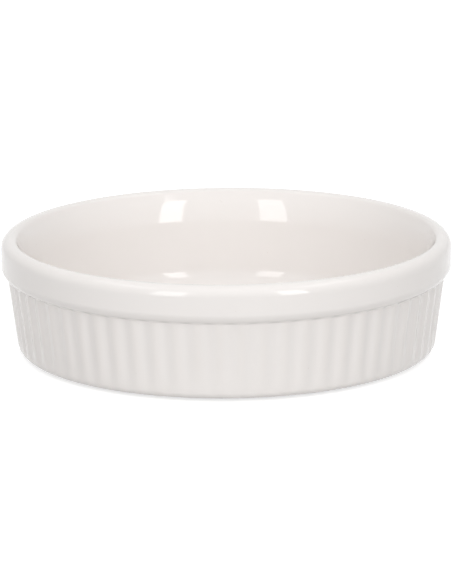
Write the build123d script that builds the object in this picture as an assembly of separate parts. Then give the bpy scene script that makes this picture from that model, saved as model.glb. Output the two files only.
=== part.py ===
"""Fluted quiche dish: a fired ceramic body, and the glaze that covers all of it but the foot ring.

The dish stands on its foot ring, with the origin on its axis at table level and +Z up. Lengths are in
millimetres and angles in degrees.
"""

from build123d import *
from math import asin, cos, radians, sin, sqrt, tan
import os

# Overall sizes, over the glaze
rim_diameter = 250.0
height = 65.0

# Rim band: a plain raised collar whose lower edge rolls in to a narrow ledge over the flutes
band_height = 20.0
band_overhang = 3.3
band_roll = 5.6
band_ledge = 0.5

# Lip, with a flare that leads from it into the inner wall
lip_thickness = 6.0
lip_outer_round = 3.2
lip_inner_round = 4.5
flare_angle = 30.0
flare_depth = 8.2
flare_round = 36.0

# Wall, floor and the curves that join them
outer_taper = 7.5
inner_taper = 9.2
floor_thickness = 6.0
heel_round = 4.6
cove_round = 12.0

# Flutes: hollows side by side with a rounded rib between each two, shallower towards the heel
flute_count = 65
flute_depth_at_band = 1.15
flute_depth_at_base = 0.45
rib_relief = 0.15
rib_share = 0.55

# Foot ring, left bare because the dish stands on it in the kiln
foot_diameter = 198.0
foot_width = 5.0
foot_height = 1.5
foot_edge_round = 0.4

# Glaze coat
glaze_thickness = 0.4

# How far a cutting tool, or a piece to be fused, runs past the face that it meets
overrun = 2.0

rim_radius = rim_diameter / 2
band_bottom = height - band_height
floor_level = foot_height + floor_thickness
outer_slope = tan(radians(outer_taper))
inner_slope = tan(radians(inner_taper))
flare_slope = tan(radians(flare_angle))


def revolved(outline):
    """Solid of revolution about Z, from a closed outline with X as the radius and Y as the height."""
    return revolve(Plane.XZ * make_face(outline), Axis.Z)


def wall_radius(level, skin):
    """Radius of the plain tapered wall at a level, taken in by the skin measured square to the wall."""
    plain = rim_radius - band_overhang - (band_bottom - level) * outer_slope
    return plain - skin / cos(radians(outer_taper))


def band_edge(skin):
    """The band's rolled lower edge: an arc from the ledge out and up to the band's face."""
    roll = band_roll - skin
    roll_reach = band_roll - band_overhang + band_ledge
    centre_radius = rim_radius - band_roll
    centre_level = band_bottom + sqrt(band_roll**2 - roll_reach**2)
    drop = centre_level - band_bottom - skin
    middle = asin(drop / roll) / 2
    return ThreePointArc(
        (centre_radius + sqrt(roll**2 - drop**2), band_bottom + skin),
        (centre_radius + roll * cos(middle), centre_level - roll * sin(middle)),
        (centre_radius + roll, centre_level),
    )


def section(skin):
    """Outline of the plain dish, with every glazed face taken in by the skin."""
    base = foot_height + skin
    ledge = band_bottom + skin
    top = height - skin
    floor = floor_level - skin
    mouth = rim_radius - lip_thickness + skin * (1 / cos(radians(flare_angle)) - flare_slope)
    flare_level = height - flare_depth
    flare_radius = rim_radius - lip_thickness - flare_depth * flare_slope
    half_turn = radians(flare_angle - inner_taper) / 2
    lean = radians(flare_angle + inner_taper) / 2
    flare_radius += skin * cos(lean) / cos(half_turn)
    flare_level -= skin * sin(lean) / cos(half_turn)
    outside = FilletPolyline(
        (0, base),
        (wall_radius(base, skin), base),
        (wall_radius(ledge, skin), ledge),
        radius=heel_round - skin,
    )
    edge = band_edge(skin)
    inside = FilletPolyline(
        edge @ 1,
        (rim_radius - skin, top),
        (mouth, top),
        (flare_radius, flare_level),
        (flare_radius - (flare_level - floor) * inner_slope, floor),
        (0, floor),
        radius=(lip_outer_round - skin, lip_inner_round - skin, flare_round - skin, cove_round + skin),
    )
    return Curve() + [outside, Line(outside @ 1, edge @ 0), edge, inside, Line(inside @ 1, outside @ 0)]


def scallops(level, skin):
    """Closed wire round the wall at a level: a hollow arc for each flute, and a rib arc after it."""
    rib = wall_radius(level, skin) - rib_relief
    deepening = (flute_depth_at_band - flute_depth_at_base) / band_bottom
    depth = flute_depth_at_base + level * deepening
    pitch = 360 / flute_count
    half_hollow = pitch * (1 - rib_share) / 2
    hollow_start = Vector(rib - depth * rib_share, 0).rotate(Axis.Z, -half_hollow)
    hollow_middle = Vector(rib - depth, 0)
    hollow_end = hollow_start.rotate(Axis.Z, 2 * half_hollow)
    rib_middle = Vector(rib, 0).rotate(Axis.Z, pitch / 2)
    rib_end = hollow_start.rotate(Axis.Z, pitch)
    hollow = ThreePointArc(hollow_start, hollow_middle, hollow_end)
    ridge = ThreePointArc(hollow_end, rib_middle, rib_end)
    arcs = [turn * arc for turn in PolarLocations(0, flute_count) for arc in (hollow, ridge)]
    return Pos(0, 0, level) * Wire(arcs)


def fluting_tool(skin):
    """What the flutes take off the plain wall: a ring up to the band, with a fluted and tapered bore."""
    top = band_bottom + skin
    low = -overrun
    ring = Cylinder(rim_radius, top - low, align=(Align.CENTER, Align.CENTER, Align.MAX))
    core = Solid.make_loft([scallops(low - overrun, skin), scallops(top + overrun, skin)], ruled=True)
    return Pos(0, 0, top) * ring - core


def dish_form(skin):
    """The fluted dish without its foot ring, with its faces taken in by the skin."""
    return revolved(section(skin)) - fluting_tool(skin)


def foot_ring():
    """Bare ring that the dish stands on, running up into the ceramic of the underside."""
    outer = foot_diameter / 2
    inner = outer - foot_width
    top = foot_height + glaze_thickness + overrun
    outline = FilletPolyline(
        (inner, top),
        (inner, 0),
        (outer, 0),
        (outer, top),
        radius=foot_edge_round,
    )
    return revolved(Curve() + [outline, Line(outline @ 1, outline @ 0)])


def ceramic_body():
    """The fired ceramic: the dish less its glaze, with the foot ring."""
    return dish_form(glaze_thickness) + foot_ring()


def glaze_patches(body):
    """The glaze in its two patches: the coat over the dish, and the disc inside the foot ring."""
    disc, coat = (dish_form(0) - body).solids().sort_by(SortBy.AREA)
    return coat, disc


body = ceramic_body()
coat, disc = glaze_patches(body)

os.makedirs("parts", exist_ok=True)
nodes = {"ceramic_body": body, "glaze_coat": coat, "foot_well_glaze": disc}
for name, shape in nodes.items():
    export_step(shape, f"parts/{name}.step")
    box = shape.bounding_box().size
    print(name, "solids", len(shape.solids()), "volume", round(shape.volume), "size", box)
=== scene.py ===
"""Fluted quiche dish: fine meshes for the glaze and the clay, their finishes, and a white studio.

Lengths are in metres unless a name says otherwise, and angles are in radians.
"""

from math import atan2, cos, pi, radians, sin, tan

import bmesh
import bpy
from mathutils import Matrix, Vector


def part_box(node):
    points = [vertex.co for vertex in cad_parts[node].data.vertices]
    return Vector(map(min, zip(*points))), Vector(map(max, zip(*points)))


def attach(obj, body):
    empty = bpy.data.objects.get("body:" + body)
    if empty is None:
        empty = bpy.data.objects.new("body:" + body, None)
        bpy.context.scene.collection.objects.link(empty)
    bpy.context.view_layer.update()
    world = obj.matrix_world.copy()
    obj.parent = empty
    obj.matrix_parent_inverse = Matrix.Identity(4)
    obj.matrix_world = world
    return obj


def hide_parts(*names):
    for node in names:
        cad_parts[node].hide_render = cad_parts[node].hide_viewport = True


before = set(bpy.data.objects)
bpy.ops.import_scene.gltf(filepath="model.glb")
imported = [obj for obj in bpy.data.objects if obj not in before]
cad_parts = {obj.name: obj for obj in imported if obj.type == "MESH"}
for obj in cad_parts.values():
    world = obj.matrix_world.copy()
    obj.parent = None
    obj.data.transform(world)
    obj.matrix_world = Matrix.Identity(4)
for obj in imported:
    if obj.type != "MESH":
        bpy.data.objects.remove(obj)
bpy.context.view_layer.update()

MM = 0.001

# The dish's main sizes, read from the frame
coat_low, coat_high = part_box("glaze_coat")
_, well_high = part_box("foot_well_glaze")
rim_radius = coat_high.x
height = coat_high.z
underside = coat_low.z
well_radius = well_high.x

# Foot ring
foot_ring_radius = 99.0 * MM
foot_ring_width = 5.0 * MM
foot_edge_round = 0.4 * MM

# Rim band, with a ledge that leads from the fluted wall out to the roll of its lower edge
band_height = 20.0 * MM
band_overhang = 3.3 * MM
band_roll = 5.6 * MM
band_ledge = 0.5 * MM
ledge_drop = 1.1 * MM
ledge_rise = radians(30)
ledge_round = 1.2 * MM
ledge_edge_round = 0.3 * MM

# Lip, and the flare that leads from it into the inner wall
lip_thickness = 7.9 * MM
lip_outer_round = 5.8 * MM
lip_inner_round = 3.5 * MM
flare_angle = radians(27)
flare_depth = 12.0 * MM
flare_round = 37.0 * MM

# Wall and floor
outer_taper = radians(7.5)
inner_taper = radians(5.3)
floor_level = 7.5 * MM
heel_round = 4.6 * MM
cove_round = 13.5 * MM

# Glaze
glaze_thickness = 0.4 * MM
glaze_edge_round = 0.18 * MM

# Flutes
flute_count = 65
flute_depth = 1.15 * MM
flute_start = 4.5 * MM
flute_full = 24.0 * MM
flute_share_at_start = 0.35
rib_share = 0.55

# Meshes: steps round each flute, rows up the wall, and steps in which each corner is rounded
steps_per_flute = 8
glaze_rows = 14
buried_rows = 6
clay_rows = 12
buried_share = 0.3
clay_share = 0.5
corner_steps = {
    "heel": 9,
    "ledge": 3,
    "ledge_edge": 2,
    "band_roll": 10,
    "lip_outside": 12,
    "lip_inside": 10,
    "flare": 12,
    "cove": 13,
}
heel_clearance = heel_round * 1.2
holding_row = 0.5 * MM
longest_unheld = 3.0 * MM
wall_zone = 3.0 * MM
weld_distance = 0.002 * MM

# Camera
camera_distance = 2.0
camera_pitch = radians(14.798)
camera_turn = radians(0.47)
camera_roll = radians(-0.434)
camera_lens_mm = 284.6
aim_level = 31.6 * MM
aim_sideways = -0.255 * MM

# Light of the surround: low down, overhead, and added from the front
sky_start = 0.16
sky_low = 0.03
sky_high = 0.93
sky_front = 0.26

# Soft boxes: azimuth from the front towards +X, elevation, tilt, width, height and radiance
lamp_distance = 2.6
lamps = {
    "soft_box_right": (radians(33.75), radians(23.9), 0, 0.64, 2.26, 4.3),
    "soft_box_left": (radians(-28.4), radians(23.9), 0, 0.76, 2.26, 3.3),
    "side_box_right": (radians(84), radians(60), radians(60), 3.2, 1.0, 1.3),
    "side_box_left": (radians(-84), radians(60), radians(60), 3.2, 1.0, 1.3),
}

# Floor
floor_radius = 3.0
floor_sides = 96
floor_grey = 0.63
floor_glow = 0.67

band_bottom = height - band_height
mouth_radius = rim_radius - lip_thickness
flare_level = height - flare_depth
flare_radius = mouth_radius - flare_depth * tan(flare_angle)


def wall_radius(level):
    """Outer radius of the tapered wall, over the ribs, at a level."""
    return rim_radius - band_overhang - (band_bottom - level) * tan(outer_taper)


def inner_radius(level):
    """Radius of the inner wall at a level below the flare."""
    return flare_radius - (flare_level - level) * tan(inner_taper)


def dish_corners(skin, wall_rows, share):
    """Corners of the dish's glazed side, from the foot ring out, up and in to the middle of the floor.

    Each corner is its radius, its level, how round it is, and in how many steps it is rounded. The skin
    is how deep the side lies under the surface, and the share makes the buried sides coarser.
    """
    def steps(corner):
        return max(round(corner_steps[corner] * share), 2)

    low = underside + skin
    turn_level = band_bottom - ledge_drop + skin
    ledge = band_bottom + skin
    roll_level = ledge + (band_overhang - band_ledge) * tan(ledge_rise)
    face = rim_radius - skin
    top = height - skin
    floor = floor_level - skin
    rows = [low + (turn_level - low) * (row + 1) / (wall_rows + 1) for row in range(wall_rows)]
    rows = [level for level in rows if level > low + heel_clearance]
    return [
        (foot_ring_radius, low, 0, 0),
        (wall_radius(low) - skin, low, heel_round - skin, steps("heel")),
        *((wall_radius(level) - skin, level, 0, 0) for level in rows),
        (wall_radius(turn_level) - skin, turn_level, ledge_round, steps("ledge")),
        (wall_radius(ledge) + band_ledge - skin, ledge, ledge_edge_round, steps("ledge_edge")),
        (face, roll_level, band_roll - skin, steps("band_roll")),
        (face, top, lip_outer_round - skin, steps("lip_outside")),
        (mouth_radius + skin / 2, top, lip_inner_round - skin, steps("lip_inside")),
        (flare_radius + skin, flare_level, flare_round, steps("flare")),
        (inner_radius(floor) + skin, floor, cove_round + skin, steps("cove")),
        (0, floor, 0, 0),
    ]


def rounded_outline(bm, corners):
    """Draws an open outline in the XZ plane, and rounds its corners."""
    verts = [bm.verts.new((radius, 0, level)) for radius, level, _, _ in corners]
    for pair in zip(verts, verts[1:]):
        bm.edges.new(pair)
    places = [vert.co.copy() for vert in verts]
    for index in range(1, len(corners) - 1):
        _, _, rounding, segments = corners[index]
        if rounding:
            turn = (places[index] - places[index - 1]).angle(places[index + 1] - places[index])
            bmesh.ops.bevel(
                bm,
                geom=[verts[index]],
                offset=rounding * tan(turn / 2),
                offset_type="OFFSET",
                affect="VERTICES",
                segments=segments,
                profile=0.5,
                material=-1,
            )


def hold_ends(bm):
    """Adds a row close to each end of the long straight stretches, so that they shade flat."""
    for edge in bm.edges[:]:
        length = edge.calc_length()
        if length > longest_unheld:
            end = edge.verts[1]
            bmesh.utils.edge_split(edge, edge.verts[0], holding_row / length)
            rest = [e for e in end.link_edges if e.calc_length() > length / 2][0]
            bmesh.utils.edge_split(rest, end, holding_row / rest.calc_length())


def one_flute_round(bm):
    """Spins the outline through one flute, from the middle of its hollow to that of the next."""
    bmesh.ops.spin(
        bm,
        geom=bm.verts[:] + bm.edges[:],
        cent=(0, 0, 0),
        axis=(0, 0, 1),
        angle=2 * pi / flute_count,
        steps=steps_per_flute,
    )


def repeated_round(bm):
    """Repeats the sector of one flute round the dish's axis, and closes the seams and the pole."""
    bmesh.ops.spin(
        bm,
        geom=bm.verts[:] + bm.edges[:] + bm.faces[:],
        cent=(0, 0, 0),
        axis=(0, 0, 1),
        angle=2 * pi * (flute_count - 1) / flute_count,
        steps=flute_count - 1,
        use_duplicate=True,
    )
    bmesh.ops.remove_doubles(bm, verts=bm.verts[:], dist=weld_distance)
    bmesh.ops.recalc_face_normals(bm, faces=bm.faces[:])


def flute_shape(turn):
    """How hollow the wall is at an angle round the dish: 1 in the middle of a flute, 0 on a rib."""
    wave = cos(turn * flute_count) / 2 + 0.5
    return wave ** (0.5 / (1 - rib_share))


def flute_reach(level):
    """How deep the flutes are at a level, as a share of their full depth."""
    rise = (level - flute_start) / (flute_full - flute_start)
    rise = min(max(rise, 0), 1)
    swell = rise * (2 - rise)
    low = min(max(level - underside, 0) / (flute_start - underside), 1)
    return (flute_share_at_start + (1 - flute_share_at_start) * swell) * low * low


def press_flutes(bm):
    """Presses the flutes into the outer wall below the band, and marks how much each place stands out."""
    crest = bm.verts.layers.float.new("crest")
    for vert in bm.verts:
        radius = vert.co.to_2d().length
        level = vert.co.z
        if level > band_bottom or radius < wall_radius(level) - wall_zone:
            continue
        free = min(max((band_bottom - level) / ledge_drop, 0), 1)
        hollow = flute_shape(atan2(vert.co.y, vert.co.x)) * flute_reach(level) * free
        shrink = (radius - flute_depth * hollow) / radius
        vert.co.x *= shrink
        vert.co.y *= shrink
        vert[crest] = (1 - hollow) * flute_reach(level)


def finished(bm, name, material):
    """Makes the mesh a smooth object with one material."""
    for face in bm.faces:
        face.smooth = True
    mesh = bpy.data.meshes.new(name)
    bm.to_mesh(mesh)
    bm.free()
    mesh.materials.append(material)
    piece = bpy.data.objects.new(name, mesh)
    bpy.context.scene.collection.objects.link(piece)
    return piece


def glaze_piece(material):
    """The glaze coat: everything but the underside within the foot ring."""
    bm = bmesh.new()
    outer = dish_corners(0, glaze_rows, 1)
    outer.insert(0, (foot_ring_radius, underside + glaze_thickness, 0, 0))
    outer[1] = (foot_ring_radius, underside, glaze_edge_round, 2)
    rounded_outline(bm, outer)
    buried = dish_corners(glaze_thickness, buried_rows, buried_share)
    rounded_outline(bm, buried + [(0, floor_level, 0, 0)])
    hold_ends(bm)
    bmesh.ops.remove_doubles(bm, verts=bm.verts[:], dist=weld_distance)
    one_flute_round(bm)
    press_flutes(bm)
    repeated_round(bm)
    return finished(bm, "glaze", material)


def clay_piece(material):
    """The fired clay under the glaze, with the bare ring that the dish stands on."""
    low = underside + glaze_thickness
    inner = foot_ring_radius - foot_ring_width
    ring = [
        (0, low, 0, 0),
        (inner, low, 0, 0),
        (inner, 0, foot_edge_round, 4),
        (foot_ring_radius, 0, foot_edge_round, 4),
    ]
    bm = bmesh.new()
    rounded_outline(bm, ring + dish_corners(glaze_thickness, clay_rows, clay_share))
    hold_ends(bm)
    one_flute_round(bm)
    press_flutes(bm)
    repeated_round(bm)
    return finished(bm, "clay", material)


def foot_well_piece(material):
    """The glaze inside the foot ring: a thin disc with a rounded edge."""
    top = underside + glaze_thickness
    corners = [
        (0, underside, 0, 0),
        (well_radius, underside, glaze_edge_round, 3),
        (well_radius, top, 0, 0),
        (0, top, 0, 0),
    ]
    bm = bmesh.new()
    rounded_outline(bm, corners)
    hold_ends(bm)
    one_flute_round(bm)
    repeated_round(bm)
    return finished(bm, "foot_well", material)


def node_adder(tree):
    """A function that adds a node to the tree, with its settings and its linked or plain inputs."""
    def add(kind, inputs=(), **settings):
        node = tree.nodes.new(kind)
        for key, value in settings.items():
            setattr(node, key, value)
        for socket, value in dict(inputs).items():
            if isinstance(value, bpy.types.NodeSocket):
                tree.links.new(value, node.inputs[socket])
            else:
                node.inputs[socket].default_value = value
        return node

    return add


def shader_tree(name):
    """A new material, with its node tree, its shader and a function that adds nodes to it."""
    material = bpy.data.materials.new(name)
    material.use_nodes = True
    tree = material.node_tree
    return material, tree, tree.nodes["Principled BSDF"], node_adder(tree)


def blended(add, share, first, second):
    """A colour that goes from the first to the second with the share."""
    mix = add("ShaderNodeMix", {"Factor": share, 6: first, 7: second}, data_type="RGBA")
    return mix.outputs[2]


def scaled(add, value, start, end, low, high):
    """The value taken from its range between start and end to the one between low and high."""
    limits = {"From Min": start, "From Max": end, "To Min": low, "To Max": high}
    return add("ShaderNodeMapRange", {"Value": value, **limits}).outputs["Result"]


def white_glaze():
    """Glossy warm white glaze, with faint tone changes, specks, pinholes and a soft orange peel."""
    material, tree, shader, add = shader_tree("white_glaze")
    place = add("ShaderNodeTexCoord").outputs["Object"]
    cloud = add(
        "ShaderNodeTexNoise",
        {"Vector": place, "Scale": 26.0, "Detail": 3.0, "Roughness": 0.5},
    ).outputs["Fac"]
    tone = blended(add, cloud, (0.925, 0.887, 0.861, 1), (0.94, 0.904, 0.88, 1))
    crest = add("ShaderNodeAttribute", attribute_name="crest", attribute_type="GEOMETRY")
    thin = scaled(add, crest.outputs["Fac"], 0.55, 1.0, 0.0, 0.35)
    coat_tone = blended(add, thin, tone, (0.915, 0.868, 0.832, 1))
    grains = add("ShaderNodeTexVoronoi", {"Vector": place, "Scale": 240.0, "Randomness": 1.0})
    speck = scaled(add, grains.outputs["Distance"], 0.03, 0.07, 1.0, 0.0)
    chance = add("ShaderNodeTexNoise", {"Vector": place, "Scale": 90.0, "Detail": 1.0})
    rare = scaled(add, chance.outputs["Fac"], 0.6, 0.66, 0.0, 0.5)
    spots = add("ShaderNodeMath", {0: speck, 1: rare}, operation="MULTIPLY").outputs[0]
    colour = blended(add, spots, coat_tone, (0.55, 0.46, 0.38, 1))
    peel = add(
        "ShaderNodeTexNoise",
        {"Vector": place, "Scale": 180.0, "Detail": 2.0, "Roughness": 0.4},
    ).outputs["Fac"]
    sway = add("ShaderNodeTexNoise", {"Vector": place, "Scale": 34.0, "Detail": 1.0}).outputs["Fac"]
    pits = add("ShaderNodeMath", {0: spots, 1: -0.4, 2: peel}, operation="MULTIPLY_ADD").outputs[0]
    fine = add(
        "ShaderNodeBump",
        {"Strength": 0.06, "Distance": 0.0001, "Height": pits},
    ).outputs["Normal"]
    broad = add(
        "ShaderNodeBump",
        {"Strength": 0.12, "Distance": 0.0004, "Height": sway, "Normal": fine},
    ).outputs["Normal"]
    gloss = scaled(add, cloud, 0.3, 0.7, 0.04, 0.075)
    tree.links.new(colour, shader.inputs["Base Color"])
    tree.links.new(gloss, shader.inputs["Roughness"])
    tree.links.new(broad, shader.inputs["Normal"])
    shader.inputs["IOR"].default_value = 1.5
    return material


def bare_ceramic():
    """Fired clay without glaze: matte, with a fine grain and faint kiln marks."""
    material, tree, shader, add = shader_tree("bare_ceramic")
    place = add("ShaderNodeTexCoord").outputs["Object"]
    cloud = add("ShaderNodeTexNoise", {"Vector": place, "Scale": 60.0, "Detail": 4.0}).outputs["Fac"]
    tone = blended(add, cloud, (0.76, 0.71, 0.64, 1), (0.88, 0.85, 0.79, 1))
    grain = add(
        "ShaderNodeTexNoise",
        {"Vector": place, "Scale": 2600.0, "Detail": 3.0, "Roughness": 0.7},
    ).outputs["Fac"]
    dust = scaled(add, grain, 0.3, 0.7, 0.0, 0.25)
    colour = blended(add, dust, tone, (0.62, 0.56, 0.49, 1))
    rough = add("ShaderNodeBump", {"Strength": 0.5, "Distance": 0.0001, "Height": grain})
    tree.links.new(colour, shader.inputs["Base Color"])
    tree.links.new(rough.outputs["Normal"], shader.inputs["Normal"])
    shader.inputs["Roughness"].default_value = 0.85
    return material


def background_rays(add):
    """A socket that is 1 for camera, glossy and transmission rays, and 0 for the rest."""
    rays = add("ShaderNodeLightPath").outputs
    seen = rays["Is Camera Ray"]
    for name in ("Is Glossy Ray", "Is Transmission Ray"):
        seen = add("ShaderNodeMath", {0: seen, 1: rays[name]}, operation="MAXIMUM").outputs[0]
    return seen


def white_world():
    """A white surround, which lights the dish more from above and from the front than from the sides."""
    world = bpy.data.worlds.new("studio")
    world.use_nodes = True
    tree = world.node_tree
    add = node_adder(tree)
    way = add("ShaderNodeSeparateXYZ", {0: add("ShaderNodeTexCoord").outputs["Generated"]}).outputs
    above = scaled(add, way["Z"], sky_start, 1.0, sky_low, sky_high)
    ahead = scaled(add, way["Y"], 0.0, -1.0, 0.0, sky_front)
    light = add("ShaderNodeMath", {0: above, 1: ahead}, operation="ADD").outputs[0]
    strength = add("ShaderNodeMix", {"Factor": background_rays(add), "A": light, "B": 1.0})
    backdrop = tree.nodes["Background"]
    backdrop.inputs["Color"].default_value = (1, 1, 1, 1)
    tree.links.new(strength.outputs[0], backdrop.inputs["Strength"])
    bpy.context.scene.world = world


def white_floor():
    """A plain white floor, which keeps the dish's soft shadow."""
    bm = bmesh.new()
    bmesh.ops.create_circle(bm, cap_ends=True, segments=floor_sides, radius=floor_radius)
    mesh = bpy.data.meshes.new("floor")
    bm.to_mesh(mesh)
    bm.free()
    floor = bpy.data.objects.new("floor", mesh)
    bpy.context.scene.collection.objects.link(floor)
    material, tree, shader, add = shader_tree("floor_white")
    shader.inputs["Base Color"].default_value = (floor_grey, floor_grey, floor_grey, 1)
    shader.inputs["Roughness"].default_value = 1.0
    shader.inputs["Specular IOR Level"].default_value = 0.0
    glow = add("ShaderNodeEmission", {"Color": (1, 1, 1, 1), "Strength": floor_glow})
    dark = add("ShaderNodeEmission", {"Color": (0, 0, 0, 1), "Strength": 0.0})
    chosen = add("ShaderNodeMixShader", {0: background_rays(add), 1: dark.outputs[0], 2: glow.outputs[0]})
    both = add("ShaderNodeAddShader", {0: shader.outputs[0], 1: chosen.outputs[0]})
    tree.links.new(both.outputs[0], tree.nodes["Material Output"].inputs["Surface"])
    mesh.materials.append(material)


def soft_box(name, azimuth, elevation, tilt, width, tall, radiance):
    """A rectangular soft box that faces the dish's axis."""
    light = bpy.data.lights.new(name, "AREA")
    light.shape = "RECTANGLE"
    light.size = width
    light.size_y = tall
    light.energy = radiance * width * tall * pi
    holder = bpy.data.objects.new(name, light)
    bpy.context.scene.collection.objects.link(holder)
    level_way = Vector((sin(azimuth), -cos(azimuth), 0))
    holder.location = (level_way + Vector((0, 0, tan(elevation)))) * lamp_distance
    facing = level_way + Vector((0, 0, tan(tilt)))
    holder.rotation_euler = facing.to_track_quat("Z", "Y").to_euler()


def aimed_camera():
    """The camera at the photograph's viewing angle."""
    camera = bpy.data.objects.new("camera", bpy.data.cameras.new("camera"))
    bpy.context.scene.collection.objects.link(camera)
    camera.data.lens = camera_lens_mm
    camera.data.sensor_width = 36.0
    camera.data.sensor_fit = "HORIZONTAL"
    camera.data.clip_end = 20.0
    turn = Matrix.Rotation(camera_turn, 4, "Z")
    place = turn @ Vector((0, -cos(camera_pitch), sin(camera_pitch))) * camera_distance
    place.z += underside
    aim = turn @ Vector((aim_sideways, 0, aim_level))
    look = (place - aim).to_track_quat("Z", "Y").to_matrix().to_4x4()
    camera.matrix_world = Matrix.Translation(place) @ look @ Matrix.Rotation(camera_roll, 4, "Z")
    bpy.context.scene.camera = camera


aimed_camera()
glaze = white_glaze()
clay = bare_ceramic()

coat = glaze_piece(glaze)
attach(coat, "root")
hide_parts("glaze_coat")

well = foot_well_piece(glaze)
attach(well, "root")
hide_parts("foot_well_glaze")

body = clay_piece(clay)
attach(body, "root")
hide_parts("ceramic_body")

white_world()
white_floor()
for lamp_name, setting in lamps.items():
    soft_box(lamp_name, *setting)

bpy.context.scene.view_settings.view_transform = "Standard"
